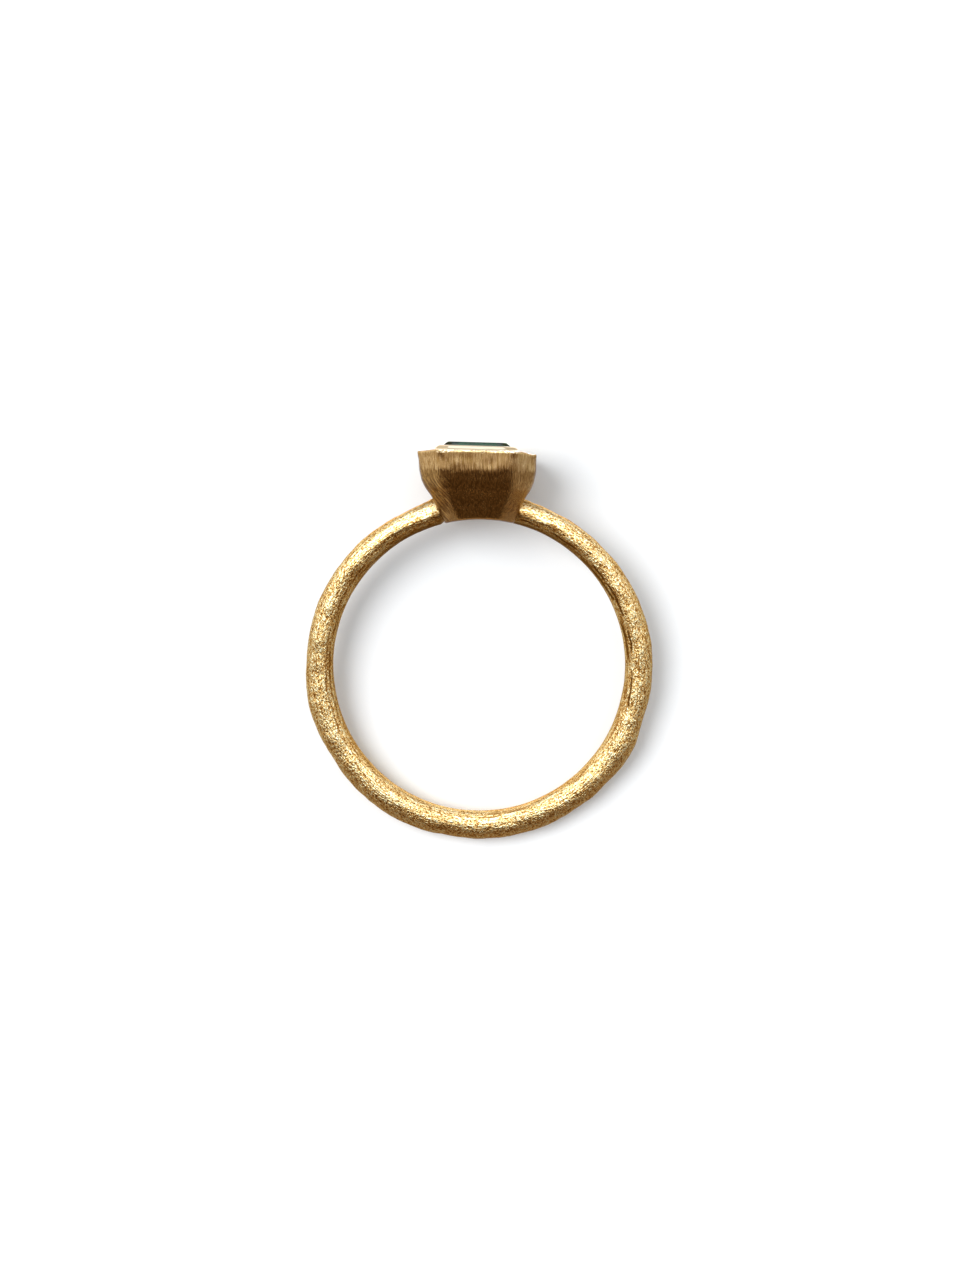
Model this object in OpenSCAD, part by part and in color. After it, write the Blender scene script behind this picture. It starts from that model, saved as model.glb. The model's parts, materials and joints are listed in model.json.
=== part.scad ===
// A wire ring with a step-cut stone in a tapered, eight-sided cup, lying on its side as it rests on a table.
// The ring is drawn in a frame of its own: its centre at 0, X across the finger, Y from the finger to the
// stone and Z along the finger. resting() then tips it onto the table.

/* [Finger hole] */
// Inner diameter of the ring
finger_d = 17.3; // [15:0.1:21]

/* [Band] */
// Width of the wire along the finger
wire_w = 1.82; // [1.8:0.01:2.1]
// Thickness of the wire beside the finger, where its inside is flat
wire_t = 1.6; // [1.4:0.01:1.65]
// How far the band's outer circle lies off the finger's centre, which thins the wire beside the cup
band_shift = 0.12; // [0:0.01:0.14]

/* [Cup] */
// Width of the cup across the finger, at its rim
cup_w = 6.98; // [6.7:0.02:7.6]
// Depth of the cup along the finger, at its rim
cup_d = 6.8; // [6.6:0.1:7.6]
// Height of the rim above the finger
cup_h = 3.98; // [3.8:0.02:4.3]
// Degrees that the cup leans to the side, as it was soldered by hand
cup_lean = 1.6; // [0:0.1:2.5]
// How far the cup stands to one side of the finger's middle
cup_aside = 0.13; // [0:0.01:0.2]
// Sideways offset of the cup's foot from its middle, which makes up for the lean
foot_shift = 0.22; // [0:0.02:0.3]

/* [Stone] */
// Width of the stone across the finger
stone_w = 4.56; // [4.4:0.02:4.6]
// Depth of the stone along the finger
stone_d = 4.36; // [4.2:0.02:4.4]
// Gap between the stone and its seat
stone_gap = 0.05; // [0.03:0.01:0.07]

/* [Hidden] */
$fn = 96;
gold = [0.75, 0.58, 0.36];
green = [0.09, 0.28, 0.2];

finger_r = finger_d / 2;
wire_r = wire_w / 2;
wire_turn_r = finger_r + wire_t - wire_r;
rim_y = finger_r + cup_h;

// Each row is one level of an eight-sided form: its height above the rim, how far its sides stand in from
// the form's full width and depth, and how much is cut off each of its corners.
HEIGHT = 0;
INSET = 1;
CORNER = 2;

// The outside of the cup: the foot at the finger, the taper, the upright wall, the rim and the lip.
CUP = [
    [-4.45, 1.57, 0.94],
    [-3.59, 1.14, 0.98],
    [-2.74, 0.75, 1.00],
    [-2.24, 0.41, 1.14],
    [-1.79, 0.20, 1.24],
    [-1.14, 0.07, 1.28],
    [0.00, 0.00, 1.25],
    [0.06, 0.95, 0.80],
    [0.20, 1.13, 0.68],
    [0.32, 1.26, 0.60],
];

// The stone: culet, three pavilion steps, girdle, three crown steps and table.
STONE = [
    [-2.55, 2.05, 0.10],
    [-1.65, 1.10, 0.36],
    [-0.85, 0.42, 0.60],
    [-0.17, 0.00, 0.75],
    [-0.05, 0.00, 0.75],
    [0.27, 0.25, 0.55],
    [0.42, 0.42, 0.38],
    [0.53, 0.58, 0.24],
];

// The levels of the stone that the cup holds, from the seat under the pavilion to the lip over the crown
SEAT_FROM = 2;
SEAT_TO = 5;
// How far the way out of the lip runs on above the stone's held part
mouth_h = 1;

// The hollow in the cup: the open gallery under the stone, the seat and the mouth of the lip.
HOLLOW = concat(
    [
        [-4.65, 1.12, 0.45],
        [-2.90, 1.02, 0.48],
        [-1.65, 0.64, 0.55],
    ],
    [for (i = [SEAT_FROM:SEAT_TO]) STONE[i]],
    [STONE[SEAT_TO] + [mouth_h, 0, 0]]
);

// Half the width of a level, seen at a turn about the cup's axis: 0 is the front and 90 the side
function reach(level, w, d, turn) =
    turn == 0 ? w / 2 - level[INSET]
    : turn == 90 ? d / 2 - level[INSET]
    : ((w + d) / 2 - 2 * level[INSET] - level[CORNER]) / sqrt(2);

// Sideways offset of a level that is seen at a turn, for a form whose foot is off its middle
function offset_at(level, shift, turn) = -level[HEIGHT] / cup_h * shift * cos(turn);

// The solid that has the table's outline from the front, from the side and over both pairs of corners
module eight_sided(levels, w, d, shift = 0) {
    intersection_for (turn = [0, 45, 90, 135])
        rotate([0, turn, 0])
            linear_extrude(height = 3 * w, center = true)
                polygon(concat(
                    [for (l = levels) [offset_at(l, shift, turn) + reach(l, w, d, turn), l[HEIGHT]]],
                    [for (i = [len(levels) - 1:-1:0])
                        [offset_at(levels[i], shift, turn) - reach(levels[i], w, d, turn), levels[i][HEIGHT]]]
                ));
}

// Places a form that is drawn from the rim's middle
module on_rim() {
    translate([-cup_aside, rim_y, 0])
        rotate([0, 0, -cup_lean])
            children();
}

module band() {
    translate([0, -band_shift, 0])
        rotate_extrude()
            translate([wire_turn_r, 0])
                circle(r = wire_r);
}

module cup() {
    eight_sided(CUP, cup_w, cup_d, foot_shift);
}

module hollow() {
    eight_sided(HOLLOW, stone_w + 2 * stone_gap, stone_d + 2 * stone_gap);
}

module finger() {
    cylinder(r = finger_r, h = 2 * cup_d, center = true);
}

// The ring lies on the far side of the wire and on the cup's wall. The wall touches the table along the
// level that needs the greatest tilt.
wire_y = -band_shift - wire_turn_r;
tilts = [for (l = CUP)
    let (run = rim_y + l[HEIGHT] - wire_y, drop = cup_d / 2 - l[INSET])
    atan2(drop, run) - asin(wire_r / norm([run, drop]))];
rest_tilt = max(tilts);
rest_lift = wire_r - wire_y * sin(rest_tilt);

// Middle of the lying ring's length, between the far side of the wire and the front edge of the table facet
table = STONE[len(STONE) - 1];
far_y = (rim_y + table[HEIGHT]) * cos(rest_tilt) + (stone_d / 2 - table[INSET]) * sin(rest_tilt);
near_y = wire_y * cos(rest_tilt) - wire_r;

module resting() {
    translate([0, -(far_y + near_y) / 2, rest_lift])
        rotate([rest_tilt, 0, 0])
            children();
}

module band_and_setting() {
    color(gold)
        resting()
            difference() {
                union() {
                    band();
                    on_rim() cup();
                }
                on_rim() hollow();
                finger();
            }
}

module stone() {
    color(green)
        resting()
            on_rim() eight_sided(STONE, stone_w, stone_d);
}

band_and_setting();
stone();
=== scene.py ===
"""A gold wire ring with a green step-cut stone in a tapered eight-sided cup, lying on a white table."""

import json
import math

import bpy
import numpy as np
from mathutils import Matrix, Vector, noise


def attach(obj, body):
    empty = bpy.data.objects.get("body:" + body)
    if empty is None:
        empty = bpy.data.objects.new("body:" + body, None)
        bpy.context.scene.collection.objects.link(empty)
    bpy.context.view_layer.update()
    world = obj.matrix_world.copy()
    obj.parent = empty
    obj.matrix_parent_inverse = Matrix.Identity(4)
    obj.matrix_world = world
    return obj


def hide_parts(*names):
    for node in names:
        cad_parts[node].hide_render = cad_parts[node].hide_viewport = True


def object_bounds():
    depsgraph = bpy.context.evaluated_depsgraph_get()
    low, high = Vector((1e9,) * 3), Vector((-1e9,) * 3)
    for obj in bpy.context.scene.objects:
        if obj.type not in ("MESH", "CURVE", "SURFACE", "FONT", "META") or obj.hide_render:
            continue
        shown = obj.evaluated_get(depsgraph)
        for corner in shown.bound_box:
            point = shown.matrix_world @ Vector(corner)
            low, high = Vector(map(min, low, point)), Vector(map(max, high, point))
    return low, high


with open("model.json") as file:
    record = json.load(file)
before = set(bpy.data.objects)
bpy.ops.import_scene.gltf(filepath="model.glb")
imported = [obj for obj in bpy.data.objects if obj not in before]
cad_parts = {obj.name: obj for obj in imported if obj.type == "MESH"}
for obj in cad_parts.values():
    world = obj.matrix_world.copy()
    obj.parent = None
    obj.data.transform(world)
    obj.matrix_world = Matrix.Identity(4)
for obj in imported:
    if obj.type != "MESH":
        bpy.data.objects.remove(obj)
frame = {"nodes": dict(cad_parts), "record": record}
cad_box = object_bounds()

# The ring is modelled in millimetres in a frame of its own: centre of the finger hole at 0, X across the
# finger, Y from the finger to the stone and Z along the finger. The bore mount says where that frame lies.
MM = 0.001
BORE = next(m for m in frame["record"]["mounts"] if m["name"] == "finger_hole")
FINGER_R = BORE["dims"]["r_mm"]
CENTRE = Vector(BORE["pos_m"])
ACROSS = Vector((1, 0, 0))
ALONG = Vector(BORE["axis"]).normalized()
TO_STONE = ALONG.cross(ACROSS)
RING_TURN = Matrix((ACROSS, TO_STONE, ALONG)).transposed()

# The band, as in the part's source
WIRE_R = 0.91
WIRE_TURN_R = 9.34
BAND_SHIFT = 0.12

# The cup, as in the part's source. A level is its height above the rim, how far its sides stand in and how
# much is cut off its corners.
HEIGHT = 0
INSET = 1
CORNER = 2
CUP_W = 6.98
CUP_D = 6.8
CUP_H = 3.98
CUP_LEAN = math.radians(1.6)
CUP_ASIDE = 0.13
FOOT_SHIFT = 0.22
RIM_Y = FINGER_R + CUP_H
CUP = np.array([
    (-4.45, 1.57, 0.94),
    (-3.59, 1.14, 0.98),
    (-2.74, 0.75, 1.00),
    (-2.24, 0.41, 1.14),
    (-1.79, 0.20, 1.24),
    (-1.14, 0.07, 1.28),
    (0.00, 0.00, 1.25),
    (0.06, 0.95, 0.80),
    (0.20, 1.13, 0.68),
    (0.32, 1.26, 0.60),
])

# The hollow under and around the stone, with the gap to the stone in its width and depth
HOLLOW_W = 4.66
HOLLOW_D = 4.46
HOLLOW = np.array([
    (-4.65, 1.12, 0.45),
    (-2.90, 1.02, 0.48),
    (-1.65, 0.64, 0.55),
    (-0.85, 0.42, 0.60),
    (-0.17, 0.00, 0.75),
    (-0.05, 0.00, 0.75),
    (0.27, 0.25, 0.55),
    (0.32, 0.25, 0.55),
])


# Shapes

# How far each seed moves the noise
SEED_STEP = (7.31, 3.17, 5.77)


def soft_rise(x, start, end):
    """0 before the start, 1 past the end and a soft rise between them. The end may be the smaller number."""
    t = np.clip((x - start) / (end - start), 0, 1)
    return t * t * (3 - 2 * t)


def bumps(points, wavelength, seed):
    """Smooth noise between about -0.5 and 0.5 at each point, with that wavelength in millimetres."""
    offset = Vector([seed * step for step in SEED_STEP])
    flat = points.reshape(-1, 3)
    return np.array([noise.noise(Vector(p) / wavelength + offset) for p in flat]).reshape(points.shape[:-1])


def relief(points, layers):
    """The sum of layers of bumps, each given by its height, its wavelength and its seed."""
    return sum(height * bumps(points, wavelength, seed) for height, wavelength, seed in layers)


def grid_mesh(name, points, material, capped):
    """A closed mesh from rows of points. Columns close on themselves, and so do rows unless capped."""
    rows, columns = points.shape[:2]
    index = np.arange(rows * columns).reshape(rows, columns)
    lower = index[:-1] if capped else index
    upper = index[1:] if capped else np.roll(index, -1, axis=0)
    corners = [lower, np.roll(lower, -1, axis=1), np.roll(upper, -1, axis=1), upper]
    faces = np.stack(corners, axis=-1).reshape(-1, 4).tolist()
    if capped:
        faces += [index[0, ::-1].tolist(), index[-1].tolist()]
    mesh = bpy.data.meshes.new(name)
    mesh.from_pydata(points.reshape(-1, 3).tolist(), [], faces)
    mesh.materials.append(material)
    piece = bpy.data.objects.new(name, mesh)
    bpy.context.scene.collection.objects.link(piece)
    return piece


def face_outwards(piece):
    """Turns the faces over if they enclose a negative volume."""
    mesh = piece.data
    mesh.calc_loop_triangles()
    points = np.array([v.co for v in mesh.vertices])
    a, b, c = (points[[t.vertices[i] for t in mesh.loop_triangles]] for i in range(3))
    if np.einsum("ij,ij->i", a, np.cross(b, c)).sum() < 0:
        mesh.flip_normals()


# The band

# How far from the finger's middle the band ends inside the cup, and the points along it and around it
BAND_END_X = 1.6
BAND_STATIONS = 660
BAND_SIDES = 60
# How far out from the middle of its thickness the wire's crest lies
CREST_OUT = -0.05
# Where the hammer moved the crest out or in: degrees from X towards the stone, mm, half-width in degrees
CREST_MOVED = [
    (30, -0.10, 15),
    (70, -0.10, 6),
    (110, -0.10, 9),
    (150, 0.15, 18),
    (205, 0.15, 12),
    (270, 0.10, 6),
    (285, -0.10, 6),
    (345, 0.15, 10),
]
# Where it left the band's outline high or low, given in the same way. The places in both lists are to the
# nearest 5 degrees and the heights to the nearest 0.05 mm.
HAMMERED = [
    (5, 0.05, 10),
    (60, -0.05, 15),
    (110, -0.05, 10),
    (140, -0.05, 5),
    (195, 0.10, 10),
    (210, -0.05, 5),
    (225, 0.05, 15),
    (260, -0.10, 10),
    (275, -0.05, 5),
    (300, -0.10, 10),
    (330, 0.15, 8),
    (345, -0.05, 5),
]
# Small hammer marks in layers of relief, the share of them that the finger has left inside the band, and the
# cosines of the turn about the wire between which they reach full height
SMALL_MARKS = [(0.07, 1.9, 2), (0.03, 0.8, 3), (0.016, 0.35, 4)]
MARKS_INSIDE = 0.25
MARKS_RISE = (-1.0, -0.5)
# The wire lifts off the finger inside the cup's wall, between these distances from the cup's middle
LIFT = 0.12
LIFTED = (2.3, 2.0)
# Solder runs up the cup's wall. It starts at this distance from the cup's middle and thins over its run, and
# it reaches full height between these cosines of the turn about the wire.
SEAM_X = 2.45
SOLDER_RUN = 0.28
SOLDER_RISE = (-1.0, 0.0)
SOLDER_H = 0.10
SOLDER_LUMPS = [(0.12, 0.8, 1)]


def hammered(degrees, marks):
    """The sum of soft marks along the band, each given by its degrees, height and half-width."""
    total_height = 0 * degrees
    for at, height, width in marks:
        off = (degrees - at + 180) % 360 - 180
        total_height = total_height + height * np.exp(-(off / width) ** 2)
    return total_height


def worn_oval(middle, side, degrees, beside_cup):
    """The middle and radius of the wire, worn to an oval between the finger and its outer circle."""
    distance = np.linalg.norm(middle, axis=-1)
    inside = FINGER_R + LIFT * soft_rise(beside_cup, *LIFTED)
    half = (distance + WIRE_R - inside) / 2
    crest = CREST_OUT + hammered(degrees, CREST_MOVED)
    middle = middle * ((inside + half + crest) / distance)[..., None]
    half = np.where(np.cos(side) > 0, half - crest, half + crest)
    return middle, half * WIRE_R / np.hypot(WIRE_R * np.cos(side), half * np.sin(side))


def band(material):
    """The hammered wire, from inside one side of the cup's wall round the finger to the other."""
    end = math.asin(BAND_END_X / WIRE_TURN_R)
    turn = np.linspace(math.pi / 2 - end, end - 1.5 * math.pi, BAND_STATIONS)[:, None]
    side = np.linspace(0, 2 * math.pi, BAND_SIDES, endpoint=False)[None, :]
    degrees = np.degrees(turn) % 360
    facing_out = np.cos(side)
    outward = np.stack([np.cos(turn), np.sin(turn), 0 * turn], axis=-1)
    way = facing_out[..., None] * outward + np.sin(side)[..., None] * np.array([0, 0, 1])
    middle = WIRE_TURN_R * outward - np.array([0, BAND_SHIFT, 0])
    beside_cup = np.where(np.sin(turn) > 0, np.abs(middle[..., 0] + CUP_ASIDE), WIRE_TURN_R)
    middle, radius = worn_oval(middle, side, degrees, beside_cup)
    surface = middle + radius[..., None] * way
    solder = np.exp(-np.clip(beside_cup - SEAM_X, 0, None) / SOLDER_RUN)
    solder = solder * soft_rise(facing_out, *SOLDER_RISE)
    radius = radius + solder * (SOLDER_H + relief(surface, SOLDER_LUMPS))
    radius = radius + hammered(degrees, HAMMERED) * np.clip(facing_out, 0, 1)
    marks_left = MARKS_INSIDE + (1 - MARKS_INSIDE) * soft_rise(facing_out, *MARKS_RISE)
    radius = radius + relief(surface, SMALL_MARKS) * marks_left
    return grid_mesh("band_blank", middle + radius[..., None] * way, material, capped=True)


# The cup

# Columns on each long side and on each cut corner
LONG_SIDE = 44
CUT_CORNER = 18
SIDES = [LONG_SIDE, CUT_CORNER] * 4
COLUMN_SIDE = np.repeat(np.arange(8), SIDES)
COLUMN_SHARE = np.concatenate([np.arange(n) / n for n in SIDES])
# How many rows run evenly up from the foot, and to which level of the cup and of the hollow. The rows above
# are about a step apart.
ROW_STEP = 0.09
EVEN_ROWS = 14
CUP_EVEN_TO = 2
HOLLOW_EVEN_TO = 1
# Heights above the rim between which every form here meets the finger, halved until they agree
FOOT_BETWEEN = (-4.9, -3.3)
HALVINGS = 30
# Steps across the foot, between the hollow and the outside
FOOT_STEPS = 9
# How many times the cup's corners are averaged with their neighbours, and the heights above the rim between
# which that starts
CORNER_WEAR = 10
WORN_BELOW = (-0.1, -0.5)
# Hand filing of the outside, which ends over the rim
FILING = [(0.05, 1.6, 5), (0.02, 0.5, 6)]
FILED_UP_TO = (0.12, -0.02)
# The rim's wear, and the heights above the rim between which it sets in
RIM_WEAR = [(0.05, 0.7, 7), (0.03, 0.25, 8)]
RIM_WORN_FROM = (-0.35, -0.05)
# How far the rim hangs at its corners, by the distance from the cup's middle and the height above the rim
CORNER_DROP = 0.09
DROPS_ASIDE = (2.3, 3.3)
DROPS_FROM = (-0.5, -0.1)


def eight_sided(levels, width, depth, height, shift):
    """Points of an eight-sided form at a height for each row and column, in the ring's frame."""
    inset = np.interp(height, levels[:, HEIGHT], levels[:, INSET])
    cut = np.interp(height, levels[:, HEIGHT], levels[:, CORNER])
    a, b = width / 2 - inset, depth / 2 - inset
    corner_x = np.stack([a, a, a - cut, cut - a, -a, -a, cut - a, a - cut])
    corner_z = np.stack([cut - b, b - cut, b, b, b - cut, cut - b, -b, -b])
    column = np.arange(len(COLUMN_SIDE))
    row = np.arange(height.shape[0])[:, None]
    next_side = (COLUMN_SIDE + 1) % 8

    def along_sides(corners):
        here = corners[COLUMN_SIDE, row, column]
        there = corners[next_side, row, column]
        return here * (1 - COLUMN_SHARE) + there * COLUMN_SHARE

    x = along_sides(corner_x) - height / CUP_H * shift
    lean_x = x * math.cos(CUP_LEAN) + height * math.sin(CUP_LEAN) - CUP_ASIDE
    lean_y = height * math.cos(CUP_LEAN) - x * math.sin(CUP_LEAN) + RIM_Y
    return np.stack([lean_x, lean_y, along_sides(corner_z)], axis=-1)


def foot_height(levels, width, depth, shift):
    """The height at which each column of a form meets the finger."""
    low, high = (np.full((1, len(COLUMN_SIDE)), height) for height in FOOT_BETWEEN)
    for _ in range(HALVINGS):
        middle = (low + high) / 2
        point = eight_sided(levels, width, depth, middle, shift)
        over = np.hypot(point[..., 0], point[..., 1]) > FINGER_R
        high = np.where(over, middle, high)
        low = np.where(over, low, middle)
    return high


def stepped_rows(levels):
    """Heights of rows from the first level to the last, about a step apart along the form's outline."""
    heights = []
    for low, high in zip(levels[:-1], levels[1:]):
        length = math.hypot(high[HEIGHT] - low[HEIGHT], high[INSET] - low[INSET])
        count = max(2, round(length / ROW_STEP))
        heights += list(np.linspace(low[HEIGHT], high[HEIGHT], count, endpoint=False))
    return np.array(heights + [levels[-1, HEIGHT]])[:, None] * np.ones(len(COLUMN_SIDE))


def skin_rows(levels, width, depth, shift, even_to):
    """Heights of a form's rows: evenly from its foot to one level, then stepped up to its top."""
    foot = foot_height(levels, width, depth, shift)
    share = np.linspace(0, 1, EVEN_ROWS, endpoint=False)[:, None]
    return np.vstack([foot + (levels[even_to, HEIGHT] - foot) * share, stepped_rows(levels[even_to:])])


def rounded(points, passes, axes):
    """Rounds the edges of a closed grid of points by averaging each with its neighbours."""
    for _ in range(passes):
        for axis in axes:
            points = (np.roll(points, 1, axis) + 2 * points + np.roll(points, -1, axis)) / 4
    return points


def cup_skin():
    """The cup's closed skin, and 1 for each of its rows that is outside.

    It goes up the outside, over the rim and lip, down the hollow and across the foot.
    """
    outer_rows = skin_rows(CUP, CUP_W, CUP_D, FOOT_SHIFT, CUP_EVEN_TO)
    outer = eight_sided(CUP, CUP_W, CUP_D, outer_rows, FOOT_SHIFT)
    worn = rounded(outer, CORNER_WEAR, axes=(1,))
    outer = outer + (worn - outer) * soft_rise(outer_rows, *WORN_BELOW)[..., None]
    inner_rows = skin_rows(HOLLOW, HOLLOW_W, HOLLOW_D, 0.0, HOLLOW_EVEN_TO)
    inner = eight_sided(HOLLOW, HOLLOW_W, HOLLOW_D, inner_rows[::-1], 0.0)
    share = np.linspace(0, 1, FOOT_STEPS + 1)[1:-1, None, None]
    foot = inner[-1] * (1 - share) + outer[0] * share
    foot[..., 1] = np.sqrt(FINGER_R**2 - foot[..., 0] ** 2)
    outside = np.concatenate([np.ones(len(outer)), np.zeros(len(inner) + len(foot))])[:, None]
    return rounded(np.concatenate([outer, inner, foot]), 1, axes=(0, 1)), outside


def cup(material):
    """The cup, filed by hand, with a worn rim."""
    points, outside = cup_skin()
    outside = outside * soft_rise(points[..., 1] - RIM_Y, *FILED_UP_TO)
    around = points - np.array([0, 1, 0]) * points[..., 1:2]
    around = around / np.linalg.norm(around, axis=-1, keepdims=True)
    points = points + (relief(points, FILING) * outside)[..., None] * around
    rim = soft_rise(points[..., 1] - RIM_Y, *RIM_WORN_FROM) * outside
    points[..., 1] += rim * relief(points, RIM_WEAR)
    corner = soft_rise(np.abs(points[..., 0] + CUP_ASIDE), *DROPS_ASIDE)
    points[..., 1] -= CORNER_DROP * corner * soft_rise(points[..., 1] - RIM_Y, *DROPS_FROM)
    return grid_mesh("cup_blank", points, material, capped=False)


def soldered(name, band_piece, cup_piece):
    """One closed mesh of the band and the cup, in the row frame."""
    for piece in (band_piece, cup_piece):
        face_outwards(piece)
    join = cup_piece.modifiers.new("join", "BOOLEAN")
    join.operation = "UNION"
    join.solver = "MANIFOLD"
    join.object = band_piece
    join.material_mode = "TRANSFER"
    bpy.context.view_layer.update()
    evaluated = cup_piece.evaluated_get(bpy.context.evaluated_depsgraph_get())
    mesh = bpy.data.meshes.new_from_object(evaluated)
    mesh.transform(Matrix.Translation(CENTRE) @ RING_TURN.to_4x4() @ Matrix.Scale(MM, 4))
    mesh.shade_smooth()
    mesh.name = name
    piece = bpy.data.objects.new(name, mesh)
    bpy.context.scene.collection.objects.link(piece)
    for blank in (band_piece, cup_piece):
        bpy.data.objects.remove(blank)
    return piece


# Nodes. A value is a number, or the output of a node.

def new_material(name):
    """A material with its node tree and its shader."""
    material = bpy.data.materials.new(name)
    material.use_nodes = True
    tree = material.node_tree
    return material, tree, tree.nodes["Principled BSDF"]


def feed(tree, node, inputs):
    """Sets a node's inputs. Each is given a value, a colour or the output that feeds it."""
    for key, value in inputs.items():
        if isinstance(value, bpy.types.NodeSocket):
            tree.links.new(value, node.inputs[key])
        else:
            node.inputs[key].default_value = value


def add(tree, kind, inputs, **settings):
    """Adds a node with its settings and inputs."""
    node = tree.nodes.new(kind)
    for key, value in settings.items():
        setattr(node, key, value)
    feed(tree, node, inputs)
    return node


def split(tree, vector):
    """The three axes of a vector."""
    return add(tree, "ShaderNodeSeparateXYZ", {"Vector": vector}).outputs


def maths(tree, operation, *values):
    """One step of arithmetic."""
    return add(tree, "ShaderNodeMath", dict(enumerate(values)), operation=operation).outputs[0]


def chained(tree, operation, first, others):
    """The same step of arithmetic with each value in turn."""
    for other in others:
        first = maths(tree, operation, first, other)
    return first


def product(tree, first, *others):
    """The product of values."""
    return chained(tree, "MULTIPLY", first, others)


def total(tree, first, *others):
    """The sum of values."""
    return chained(tree, "ADD", first, others)


def largest(tree, first, *others):
    """The largest of values."""
    return chained(tree, "MAXIMUM", first, others)


def difference(tree, a, b):
    """One value less another."""
    return maths(tree, "SUBTRACT", a, b)


def without_sign(tree, value):
    """A value, made positive."""
    return maths(tree, "ABSOLUTE", value)


def ranged(tree, value, span, low=0.0, high=1.0):
    """Low where the value is at the span's first number, high at its second, and held at the ends."""
    return add(tree, "ShaderNodeMapRange", {
        "Value": value,
        "From Min": span[0],
        "From Max": span[1],
        "To Min": low,
        "To Max": high,
    }).outputs["Result"]


def mixed_colour(tree, share, a, b):
    """A colour between two, by a share."""
    mix = add(tree, "ShaderNodeMix", {"Factor": share, "A": a, "B": b}, data_type="RGBA")
    return mix.outputs["Result"]


def mixed_value(tree, share, a, b):
    """A number between two, by a share."""
    mix = add(tree, "ShaderNodeMix", {"Factor": share, "A": a, "B": b}, data_type="FLOAT")
    return mix.outputs["Result"]


def stretched_noise(tree, place, scale, detail, rough):
    """Noise with its own scale along each axis, in features a unit of the place."""
    scaled = add(tree, "ShaderNodeMapping", {"Vector": place, "Scale": scale}).outputs["Vector"]
    return add(tree, "ShaderNodeTexNoise", {
        "Vector": scaled,
        "Scale": 1.0,
        "Detail": detail,
        "Roughness": rough,
    }).outputs["Fac"]


def ring_millimetres(tree):
    """The place on the surface in the ring's own frame, in millimetres."""
    place = add(tree, "ShaderNodeTexCoord", {}).outputs["Object"]
    return add(tree, "ShaderNodeMapping", {
        "Vector": place,
        "Location": CENTRE,
        "Rotation": RING_TURN.to_euler(),
        "Scale": (MM, MM, MM),
    }, vector_type="TEXTURE").outputs["Vector"]


# In a span, a look is absent at the first number and full at the second. Most of a noise lies in this one.
NOISE_SPAN = (0.35, 0.65)


# The band's gold. Along is the distance round the band from the point opposite the stone, positive at the
# right, away is the same without its sign, out is the distance out from the wire's middle, and beside is the
# distance from the cup's middle. All are in millimetres.

GOLD = (0.94, 0.645, 0.248, 1)
# Painted shade in the pits of the grain
PIT_SHADE_GOLD = (0.37, 0.163, 0.030, 1)
# Painted shade beside the cup, at the seam and in the scratches
PAINTED_SHADE_GOLD = (0.18, 0.08, 0.016, 1)
# Painted glints on the tips of the grain
GLINT_GOLD = (0.98, 0.93, 0.60, 1)
GRAZING_GOLD = (1.0, 0.78, 0.45, 1)
STIPPLE = {"scale": (6, 9.5, 9.5), "detail": 3, "rough": 0.65}
STROKES = {"scale": (1.0, 8, 8), "detail": 2, "rough": 0.6}
GROOVES = {"scale": (0.3, 5, 5), "detail": 0, "rough": 0.5}
FLECKS = {"scale": (9, 14, 14), "detail": 0, "rough": 0.5}
# The share of strokes in the grain and of flecks in the shade
STROKES_SHARE = 0.4
FLECKS_SHARE = 0.3
# The shades between which the painted shade of the pits turns to gold, and gold to the painted glints on the
# tips
GOLD_SHADES = (0.43, 0.485)
PALE_SHADES = (0.505, 0.565)
# How rough the pits and the tips of the grain are, and its depth
GRAIN_SPAN = (0.42, 0.50)
GRAIN_ROUGHNESS = (0.32, 0.15)
GRAIN_DEPTH = 0.117 * MM
# Where the inner side begins, and where the ends of the band beside the cup do
INNER_SIDE_OUT = (-0.2, -0.55)
BY_CUP_AWAY = (19, 24.5)
# Painted shade at the seam by the cup's wall
SEAM_BESIDE = (2.8, SEAM_X)
SEAM_SHADE = 0.6
# Where the stipple is worn smooth: at both ends of the band, and inside it opposite the stone. Then how far
# it is at most opposite the stone, how much plain gold shows there, and what is left of the bumps.
SMOOTH_LEFT_ALONG = (-19, -24.5)
SMOOTH_RIGHT_ALONG = (22, 26.5)
SMOOTH_ENDS_OUT = (-0.3, 0.0)
SMOOTH_INSIDE_OUT = (-0.4, -0.7)
SMOOTH_OPPOSITE_AWAY = (17, 10)
SMOOTH_OPPOSITE = 0.5
SMOOTH_GOLD = 0.6
SMOOTH_BUMPS = 0.45
# Grooves along the inner side, cut into the grain by up to this share of its height
GROOVE_SPAN = (0.56, 0.62)
GROOVE_DEPTH = 0.10
# Scratches along the inner side, each given by its place out and its wandering, in features a millimetre
SCRATCHES = [(-0.50, 0.45), (-0.30, 0.7)]
# How far they sway to either side, the noise between which they do, and the distances over which they fade
SCRATCH_SWAY = 0.07
SCRATCH_SWAY_SPAN = (0.3, 0.7)
SCRATCH_EDGE = (0.07, 0.025)
# Their breaks, as a share of the wandering, and the noise between which those end
SCRATCH_BREAKS = 0.9
SCRATCH_BROKEN = (0.44, 0.50)
# Where they fade in, and how much of them is left at the left
SCRATCHED_AWAY = (9, 12)
SCRATCHED_ALONG = (-12, 0)
SCRATCHED_LEFT = 0.4
# How deep they cut into the grain, and how dark the painted shade in them is
SCRATCH_DEPTH = 0.2
SCRATCH_SHADE = 0.95
# Painted shade on the inner side beside the cup, and on the outer edge at both ends
SHADOW_OUT = (-0.8, -0.5)
SHADOW_SHADES = (0.88, 0.96)
OUTER_EDGE_OUT = (0.45, 0.7)
OUTER_EDGE_AWAY = (24.9, 26.2)
OUTER_EDGE_SHADE = 0.45


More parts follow.
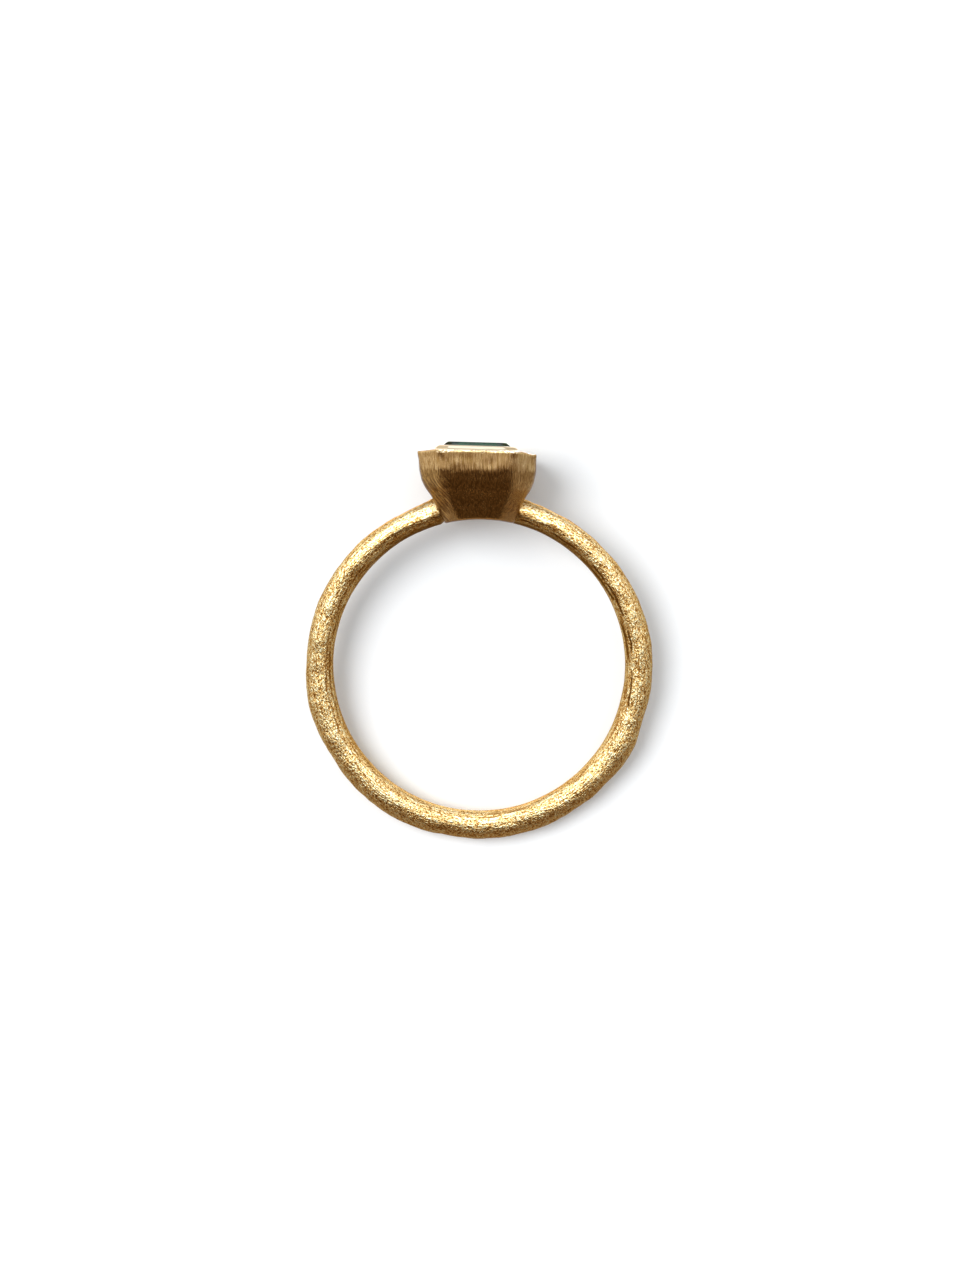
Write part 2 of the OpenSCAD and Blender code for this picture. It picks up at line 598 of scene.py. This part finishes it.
def unrolled(tree, place):
    """The place along the band, out from its middle and along the finger, in millimetres."""
    axes = split(tree, place)
    up = total(tree, axes["Y"], BAND_SHIFT)
    turn = maths(tree, "ARCTAN2", axes["X"], product(tree, up, -1.0))
    squares = total(tree, maths(tree, "POWER", axes["X"], 2.0), maths(tree, "POWER", up, 2.0))
    return add(tree, "ShaderNodeCombineXYZ", {
        "X": product(tree, turn, WIRE_TURN_R),
        "Y": difference(tree, maths(tree, "SQRT", squares), WIRE_TURN_R),
        "Z": axes["Z"],
    }).outputs["Vector"]


def band_places(tree):
    """Where the surface lies on the band."""
    place = ring_millimetres(tree)
    vector = unrolled(tree, place)
    axes = split(tree, vector)
    return {
        "vector": vector,
        "along": axes["X"],
        "out": axes["Y"],
        "away": without_sign(tree, axes["X"]),
        "beside": without_sign(tree, total(tree, split(tree, place)["X"], CUP_ASIDE)),
    }


def scratch(tree, at, out, wander):
    """How deep a broken scratch lies along the band, near a distance out from the wire's middle."""
    sway = stretched_noise(tree, at["vector"], (wander, 0, 0), detail=1, rough=0.5)
    path = ranged(tree, sway, SCRATCH_SWAY_SPAN, out - SCRATCH_SWAY, out + SCRATCH_SWAY)
    off = without_sign(tree, difference(tree, at["out"], path))
    breaks = stretched_noise(tree, at["vector"], (SCRATCH_BREAKS * wander, 1, 1), detail=1, rough=0.5)
    return product(tree, ranged(tree, off, SCRATCH_EDGE), ranged(tree, breaks, SCRATCH_BROKEN))


def scratches(tree, at):
    """How deep the scratches lie. There are none opposite the stone, and they are fainter at the left."""
    depth = largest(tree, *(scratch(tree, at, out, wander) for out, wander in SCRATCHES))
    left = ranged(tree, at["along"], SCRATCHED_ALONG, SCRATCHED_LEFT, 1)
    return product(tree, depth, ranged(tree, at["away"], SCRATCHED_AWAY), left)


def worn_ends(tree, at):
    """How far the outer side of the band is worn smooth at its ends."""
    left = ranged(tree, at["along"], SMOOTH_LEFT_ALONG)
    right = ranged(tree, at["along"], SMOOTH_RIGHT_ALONG)
    return product(tree, largest(tree, left, right), ranged(tree, at["out"], SMOOTH_ENDS_OUT))


def worn_inside(tree, at):
    """How far the inner side of the band is worn smooth opposite the stone."""
    opposite = ranged(tree, at["away"], SMOOTH_OPPOSITE_AWAY, 0, SMOOTH_OPPOSITE)
    return product(tree, ranged(tree, at["out"], SMOOTH_INSIDE_OUT), opposite)


def band_grain(tree, at, inner_side, scratched):
    """The height of the stipple, which grooves and scratches cut into on the inner side."""
    stipple = stretched_noise(tree, at["vector"], **STIPPLE)
    strokes = stretched_noise(tree, at["vector"], **STROKES)
    grooves = ranged(tree, stretched_noise(tree, at["vector"], **GROOVES), GROOVE_SPAN, 0, GROOVE_DEPTH)
    grain = mixed_value(tree, STROKES_SHARE, stipple, strokes)
    grain = difference(tree, grain, product(tree, inner_side, grooves))
    return difference(tree, grain, product(tree, scratched, SCRATCH_DEPTH))


def band_shadow(tree, at, inner_side, scratched):
    """How dark the gold is painted as shade: on the inner side beside the cup, on the outer edge near it, at
    the seam and in the scratches.
    """
    by_cup = ranged(tree, at["away"], BY_CUP_AWAY)
    inside = product(tree, ranged(tree, at["out"], SHADOW_OUT, *SHADOW_SHADES), by_cup, inner_side)
    outer_edge = ranged(tree, at["out"], OUTER_EDGE_OUT, 0, OUTER_EDGE_SHADE)
    outer_edge = product(tree, outer_edge, ranged(tree, at["away"], OUTER_EDGE_AWAY))
    seam = product(tree, ranged(tree, at["beside"], SEAM_BESIDE, 0, SEAM_SHADE), by_cup)
    return largest(tree, inside, outer_edge, product(tree, scratched, SCRATCH_SHADE), seam)


def band_gold():
    """Sandblasted and hammered gold: a fine sparkling stipple, drawn out a little along the band, with
    painted shade in its pits and painted glints on its tips.
    """
    material, tree, shader = new_material("band_gold")
    at = band_places(tree)
    inner_side = ranged(tree, at["out"], INNER_SIDE_OUT)
    scratched = scratches(tree, at)
    smooth_inside = worn_inside(tree, at)
    smooth = largest(tree, worn_ends(tree, at), smooth_inside)
    grain = band_grain(tree, at, inner_side, scratched)
    shade = mixed_value(tree, FLECKS_SHARE, grain, stretched_noise(tree, at["vector"], **FLECKS))
    # Painted shade and painted glints: the grain's pits are darker gold and its tips paler gold
    colour = mixed_colour(tree, ranged(tree, shade, GOLD_SHADES), PIT_SHADE_GOLD, GOLD)
    colour = mixed_colour(tree, ranged(tree, shade, PALE_SHADES), colour, GLINT_GOLD)
    colour = mixed_colour(tree, product(tree, smooth_inside, SMOOTH_GOLD), colour, GOLD)
    # Painted shade where the band meets the cup, and in the scratches
    colour = mixed_colour(tree, band_shadow(tree, at, inner_side, scratched), colour, PAINTED_SHADE_GOLD)
    bump = add(tree, "ShaderNodeBump", {
        "Height": grain,
        "Strength": ranged(tree, smooth, (0, 1), 1, SMOOTH_BUMPS),
        "Distance": GRAIN_DEPTH,
    })
    feed(tree, shader, {
        "Base Color": colour,
        "Metallic": 1,
        "Specular Tint": GRAZING_GOLD,
        "Roughness": ranged(tree, grain, GRAIN_SPAN, *GRAIN_ROUGHNESS),
        "Normal": bump.outputs["Normal"],
    })
    return material


# The cup's gold. Heights are above the rim, and all is in millimetres.

CUP_GOLD = (0.85, 0.65, 0.37, 1)
CUP_DEEP_GOLD = (0.57, 0.375, 0.145, 1)
# Painted shade for the taper, which faces the dark near side
TAPER_SHADE_GOLD = (0.29, 0.17, 0.056, 1)
# The polished rim and lip, painted paler gold as a highlight
LIP_HIGHLIGHT_GOLD = (1.0, 0.85, 0.56, 1)
BRUSHED = {"scale": (13, 0.8, 13), "detail": 2.5, "rough": 0.6}
BROAD = {"scale": (2.6, 0.5, 2.6), "detail": 2, "rough": 0.5}
RAGGED = {"scale": (4.5, 4.5, 1.0), "detail": 3, "rough": 0.6}
# File marks on the left corner: how far they lean from the cup's height, their noise, and where they lie
FILE_MARKS_TURN = math.radians(-42)
FILE_MARKS = {"scale": (11, 0.6, 11), "detail": 2.5, "rough": 0.6}
FILE_MARKS_SPAN = (0.42, 0.58)
FILE_MARKS_SHADES = (0.25, 0.7)
FILED_HEIGHT = (-1.5, -1.9)
FILED_X = (-1.6, -1.9)
# The polish of the rim and lip: the height where it starts, how ragged that is, and how far aside it goes
POLISHED_HEIGHT = (-0.03, 0.01)
POLISH_RAGGED = (-0.05, 0.16)
POLISHED_ASIDE = (2.5, 2.3)
# The taper's painted shade, for the dark near side it faces: the brushing between which its darker gold turns
# lighter, the heights between which it sets in, how ragged that edge is, how dark it gets and what is left of
# that at the right
STREAKED_SPAN = (0.4, 0.6)
TAPER_HEIGHT = (-1.0, -1.25)
TAPER_RAGGED = (-0.22, 0.22)
TAPER_SHADE = 0.85
TAPER_RIGHT_X = (1.6, 2.2)
TAPER_RIGHT_SHADE = 0.6
# How rough the brushed gold and the polished gold are
SATIN_ROUGHNESS = (0.14, 0.22)
POLISHED_ROUGHNESS = 0.28
# How much broad noise is added to the brushing, what polish leaves of both, and their depth
BROAD_SHARE = 0.6
POLISHED_BUMPS = 0.1
BRUSHED_DEPTH = 0.03 * MM


def cup_places(tree):
    """Where the surface lies on the cup."""
    place = ring_millimetres(tree)
    axes = split(tree, place)
    lean = product(tree, axes["X"], math.tan(CUP_LEAN))
    beside = without_sign(tree, total(tree, axes["X"], CUP_ASIDE))
    return {
        "vector": place,
        "x": axes["X"],
        "height": difference(tree, total(tree, axes["Y"], lean), RIM_Y),
        "aside": maths(tree, "MINIMUM", beside, without_sign(tree, axes["Z"])),
    }


def brushing(tree, at):
    """Fine lines from foot to rim, crossed by file marks low on the left corner."""
    brushed = stretched_noise(tree, at["vector"], **BRUSHED)
    turned = add(tree, "ShaderNodeMapping", {"Vector": at["vector"], "Rotation": (0, 0, FILE_MARKS_TURN)})
    marks = stretched_noise(tree, turned.outputs["Vector"], **FILE_MARKS)
    filed = product(tree, ranged(tree, at["height"], FILED_HEIGHT), ranged(tree, at["x"], FILED_X))
    return mixed_value(tree, filed, brushed, ranged(tree, marks, FILE_MARKS_SPAN, *FILE_MARKS_SHADES))


def polish(tree, at):
    """How polished the surface is: the rim and lip, with a ragged edge."""
    ragged = ranged(tree, stretched_noise(tree, at["vector"], **RAGGED), NOISE_SPAN, *POLISH_RAGGED)
    edge = ranged(tree, total(tree, at["height"], ragged), POLISHED_HEIGHT)
    return product(tree, edge, ranged(tree, at["aside"], POLISHED_ASIDE))


def satin(tree, at, brushed):
    """The colour of the brushed wall, and of the taper under it, darkened with painted shade."""
    wall = mixed_colour(tree, ranged(tree, brushed, NOISE_SPAN), CUP_DEEP_GOLD, CUP_GOLD)
    streaked = mixed_colour(tree, ranged(tree, brushed, STREAKED_SPAN), TAPER_SHADE_GOLD, CUP_DEEP_GOLD)
    edge = total(tree, at["height"], ranged(tree, brushed, NOISE_SPAN, *TAPER_RAGGED))
    # Painted shade on the taper, lighter at the right
    dark = product(
        tree,
        ranged(tree, edge, TAPER_HEIGHT, 0, TAPER_SHADE),
        ranged(tree, at["x"], TAPER_RIGHT_X, 1, TAPER_RIGHT_SHADE),
    )
    return mixed_colour(tree, dark, wall, streaked)


def cup_gold():
    """Gold brushed from foot to rim, with a polished rim and lip whose edge is ragged and whose paler gold is
    a painted highlight.
    """
    material, tree, shader = new_material("cup_gold")
    at = cup_places(tree)
    brushed = brushing(tree, at)
    broad = stretched_noise(tree, at["vector"], **BROAD)
    polished = polish(tree, at)
    satin_roughness = ranged(tree, broad, NOISE_SPAN, *SATIN_ROUGHNESS)
    lines = total(tree, brushed, product(tree, broad, BROAD_SHARE))
    lines = product(tree, lines, ranged(tree, polished, (0, 1), 1, POLISHED_BUMPS))
    bump = add(tree, "ShaderNodeBump", {"Height": lines, "Strength": 1.0, "Distance": BRUSHED_DEPTH})
    feed(tree, shader, {
        "Base Color": mixed_colour(tree, polished, satin(tree, at, brushed), LIP_HIGHLIGHT_GOLD),
        "Metallic": 1,
        "Roughness": mixed_value(tree, polished, satin_roughness, POLISHED_ROUGHNESS),
        "Normal": bump.outputs["Normal"],
    })
    return material


# The stone

STONE_GREEN = (0.30, 0.62, 0.48, 1)
STONE_DEEP_GREEN = (0.22, 0.56, 0.40, 1)
STONE_GLINT = (0.55, 0.72, 0.48, 1)
STONE_INSIDE = (0.10, 0.55, 0.38, 1)
STONE_DENSITY = 420.0
STONE_IOR = 1.63
STONE_ROUGHNESS = 0.02
STONE_ZONES = {"scale": (0.9, 0.5, 0.9), "detail": 2, "rough": 0.5}


def green_stone():
    """Dark bluish green crystal, a little uneven in colour, with polished facets."""
    material, tree, shader = new_material("green_stone")
    zones = stretched_noise(tree, ring_millimetres(tree), **STONE_ZONES)
    feed(tree, shader, {
        "Base Color": mixed_colour(tree, ranged(tree, zones, NOISE_SPAN), STONE_GREEN, STONE_DEEP_GREEN),
        "Roughness": STONE_ROUGHNESS,
        "IOR": STONE_IOR,
        "Transmission Weight": 1,
        "Specular Tint": STONE_GLINT,
    })
    inside = add(tree, "ShaderNodeVolumeAbsorption", {"Color": STONE_INSIDE, "Density": STONE_DENSITY})
    feed(tree, tree.nodes["Material Output"], {"Volume": inside.outputs["Volume"]})
    return material


# The stage

TABLE_HALF = 2.0
TABLE_WHITE = (0.9, 0.9, 0.9, 1)


def table():
    """A wide white table under the ring."""
    height = cad_box[0].z
    corners = [(x * TABLE_HALF, y * TABLE_HALF, height) for x, y in ((-1, -1), (1, -1), (1, 1), (-1, 1))]
    mesh = bpy.data.meshes.new("table")
    mesh.from_pydata(corners, [], [(0, 1, 2, 3)])
    material, tree, shader = new_material("table_white")
    feed(tree, shader, {"Base Color": TABLE_WHITE, "Roughness": 1, "Specular IOR Level": 0})
    mesh.materials.append(material)
    top = bpy.data.objects.new("table", mesh)
    top.visible_glossy = False
    bpy.context.scene.collection.objects.link(top)


# What the metal sees of the room, by direction: bright above and beyond the stone, even at the sides, dark
# and warm on the near side, and dim below. The table isn't seen in the metal, as its white would fill every
# shade. Each part of a direction runs from -1 to 1, and aside is left without its sign.

# The even light on the near side, at the sides and beyond the stone, where each gives way to the next, and
# what the right and the left keep of the first two
ROOM_DARK = 0.12
ROOM_SIDES = 0.55
ROOM_BEYOND = 0.70
NEAR_TO_SIDES = (-0.42, -0.08)
SIDES_TO_BEYOND = (0.0, 0.5)
RIGHT_AND_LEFT = (0.8, 1.2)
# The window beyond the stone: its light, its near edge, which slants about a height, and its sill, which is
# lower at the left
WINDOW = 2.4
WINDOW_EDGE_BEYOND = (0.04, 0.36)
WINDOW_SLANT = 0.25
WINDOW_SLANT_ABOVE = 0.7
WINDOW_SILL = (0.15, 0.7)
WINDOW_LOWER_LEFT = 0.15
# Soft patches of light: how bright each is, and the directions along which it fades in
LIP_SLOPE_LIGHT = (0.86, ("above", -0.20, -0.10), ("beyond", 0.88, 0.93))
LIP_LIGHT = (2.4, ("above", -0.75, -0.85), ("beyond", 0.33, 0.43))
LIGHT_BELOW = (0.28, ("above", 0.05, -0.15), ("beyond", -0.2, -0.6))
FLANK_LIGHT = (0.18, ("beyond", -0.8, -0.55), ("beyond", -0.05, -0.25), ("aside", 0.45, 0.8))
LOW_SIDE_LIGHT = (0.45, ("beyond", 0.2, 0.45), ("above", 0.35, 0.0), ("aside", 0.6, 0.85))
# The share of the even light that is lost low beyond the stone
DIMMED = (0.22, ("beyond", 0.3, 0.7), ("above", 0.0, -0.3))
# Dark and light things all over the room: their noise, and what they leave of the light
FURNITURE = {"scale": (3.6, 3.6, 3.6), "detail": 1, "rough": 0.5}
FURNITURE_SPAN = (0.43, 0.57)
FURNITURE_LIGHT = (0.62, 1.38)
# The room's colours, and the directions in which each shows
ROOM_WARM = (1.0, 0.575, 0.285, 1)
ROOM_EVEN = (1.0, 0.93, 0.80, 1)
ROOM_COOL = (0.93, 1.0, 1.20, 1)
ROOM_BRIGHT = (0.86, 1.02, 1.18, 1)
WHITE = (1, 1, 1, 1)
COOL_HIGH = (1.0, ("beyond", 0.0, 0.4), ("above", 0.0, 0.3))
COOL_FAR = (1.0, ("beyond", 0.75, 0.85))
COOL_UNDER = (1.0, ("above", -0.75, -0.85))
BRIGHT_WINDOW = (1.3, 2.2)
WARM_NEAR_BEYOND = (-0.05, -0.45)
WARM_ABOVE = (-0.3, 0.1)
WARM_BELOW_SHARE = 0.4
WARM_ASIDE = (0.4, 0.8)
WARM_ASIDE_SHARE = 0.5
WARM_FURNITURE_SPAN = (0.53, 0.43)
WARM_FURNITURE_SHARE = 0.45
# The even light that fills the shadows on the table, and the key that casts them
FILL = 0.70
FILL_COLOUR = (0.90, 0.95, 1.0, 1)
KEY = 2.30
KEY_ANGLE = math.radians(38)
KEY_FROM = Vector((-0.60, 0.10, 1.0))


def room_directions(tree):
    """A direction into the room, and how far it points beyond the stone, above, left and aside."""
    vector = add(tree, "ShaderNodeTexCoord", {}).outputs["Generated"]
    axes = split(tree, vector)
    left = product(tree, axes["X"], -1.0)
    aside = without_sign(tree, left)
    return {"vector": vector, "beyond": axes["Y"], "above": axes["Z"], "left": left, "aside": aside}


def patch(tree, room, level, *fades):
    """A level that fades in along directions, each given by its name, its start and its end."""
    for direction, start, end in fades:
        level = product(tree, ranged(tree, room[direction], (start, end)), level)
    return level


def window_light(tree, room):
    """The light of the wide window beyond the stone."""
    slant = product(tree, difference(tree, room["above"], WINDOW_SLANT_ABOVE), WINDOW_SLANT)
    across = ranged(tree, total(tree, room["beyond"], slant), WINDOW_EDGE_BEYOND)
    height = total(tree, room["above"], product(tree, room["left"], WINDOW_LOWER_LEFT))
    return product(tree, across, ranged(tree, height, WINDOW_SILL, 0, WINDOW))


def room_level(tree, room, window, furniture):
    """How bright the room is."""
    near = ranged(tree, room["beyond"], NEAR_TO_SIDES, ROOM_DARK, ROOM_SIDES)
    near = product(tree, near, ranged(tree, room["left"], (-1, 1), *RIGHT_AND_LEFT))
    near = total(tree, near, patch(tree, room, *FLANK_LIGHT), patch(tree, room, *LOW_SIDE_LIGHT))
    near = product(tree, near, difference(tree, 1.0, patch(tree, room, *DIMMED)))
    far = ranged(tree, room["beyond"], SIDES_TO_BEYOND, 0, ROOM_BEYOND - ROOM_SIDES)
    lit = product(
        tree,
        total(tree, near, far, window),
        ranged(tree, furniture, FURNITURE_SPAN, *FURNITURE_LIGHT),
    )
    low = [patch(tree, room, *light) for light in (LIP_SLOPE_LIGHT, LIP_LIGHT, LIGHT_BELOW)]
    return total(tree, lit, *low)


def room_tint(tree, room, window, furniture):
    """The room's colour: warm on the near side and in its dark things, and cool beyond the stone."""
    cool = largest(tree, *(patch(tree, room, *place) for place in (COOL_HIGH, COOL_FAR, COOL_UNDER)))
    warm = product(
        tree,
        ranged(tree, room["beyond"], WARM_NEAR_BEYOND),
        ranged(tree, room["above"], WARM_ABOVE, WARM_BELOW_SHARE, 1),
        ranged(tree, room["aside"], WARM_ASIDE, 1, WARM_ASIDE_SHARE),
    )
    dark_furniture = ranged(tree, furniture, WARM_FURNITURE_SPAN, 0, WARM_FURNITURE_SHARE)
    tint = mixed_colour(tree, cool, ROOM_EVEN, ROOM_COOL)
    tint = mixed_colour(tree, ranged(tree, window, BRIGHT_WINDOW), tint, ROOM_BRIGHT)
    tint = mixed_colour(tree, dark_furniture, tint, ROOM_WARM)
    return mixed_colour(tree, warm, tint, ROOM_WARM)


def room_light():
    """The room as the metal sees it. The table gets an even light from it, and the camera sees it white."""
    world = bpy.data.worlds.new("studio")
    bpy.context.scene.world = world
    world.use_nodes = True
    tree = world.node_tree
    room = room_directions(tree)
    window = window_light(tree, room)
    furniture = stretched_noise(tree, room["vector"], **FURNITURE)
    level = room_level(tree, room, window, furniture)
    tint = room_tint(tree, room, window, furniture)
    rays = add(tree, "ShaderNodeLightPath", {}).outputs
    level = mixed_value(tree, rays["Is Diffuse Ray"], level, FILL)
    level = mixed_value(tree, rays["Is Camera Ray"], level, 1.0)
    tint = mixed_colour(tree, rays["Is Diffuse Ray"], tint, FILL_COLOUR)
    tint = mixed_colour(tree, rays["Is Camera Ray"], tint, WHITE)
    feed(tree, tree.nodes["Background"], {"Strength": level, "Color": tint})
    world.cycles.sampling_method = "NONE"


def key_light():
    """A soft key from the upper left, for the shadow."""
    key = bpy.data.lights.new("key", "SUN")
    key.energy = KEY
    key.angle = KEY_ANGLE
    lamp = bpy.data.objects.new("key", key)
    lamp.rotation_euler = KEY_FROM.to_track_quat("Z", "Y").to_euler()
    lamp.visible_glossy = False
    bpy.context.scene.collection.objects.link(lamp)


# The photograph's frame is 960 by 1280 pixels, and the long side fills the sensor
PHOTO_W = 960
PHOTO_H = 1280
PIXELS_A_MM = 16.85
RING_CENTRE_PX = (479.1, 665.2)
CAMERA_AWAY = 170 * MM
CAMERA_TILT = math.radians(4.6)
SENSOR_W = 36
CLIP_START = 0.01
CLIP_END = 10


def camera():
    """Looks down on the table, from a little on the finger's side of upright."""
    data = bpy.data.cameras.new("camera")
    data.sensor_width = SENSOR_W
    data.lens = SENSOR_W * CAMERA_AWAY / (PHOTO_H / PIXELS_A_MM * MM)
    data.clip_start = CLIP_START
    data.clip_end = CLIP_END
    eye = bpy.data.objects.new("camera", data)
    bpy.context.scene.collection.objects.link(eye)
    back = Vector((0, -math.sin(CAMERA_TILT), math.cos(CAMERA_TILT)))
    turn = back.to_track_quat("Z", "Y")
    right_px = PHOTO_W / 2 - RING_CENTRE_PX[0]
    up_px = RING_CENTRE_PX[1] - PHOTO_H / 2
    aim = CENTRE + turn @ Vector((right_px, up_px, 0)) / PIXELS_A_MM * MM
    eye.location = aim + back * CAMERA_AWAY
    eye.rotation_euler = turn.to_euler()
    bpy.context.scene.camera = eye


bpy.context.scene.view_settings.view_transform = "Standard"

ring_metal = soldered("ring_metal", band(band_gold()), cup(cup_gold()))
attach(ring_metal, "root")
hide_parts("band_and_setting")

stone = frame["nodes"]["stone"]
stone.data.materials.clear()
stone.data.materials.append(green_stone())

table()
room_light()
key_light()
camera()
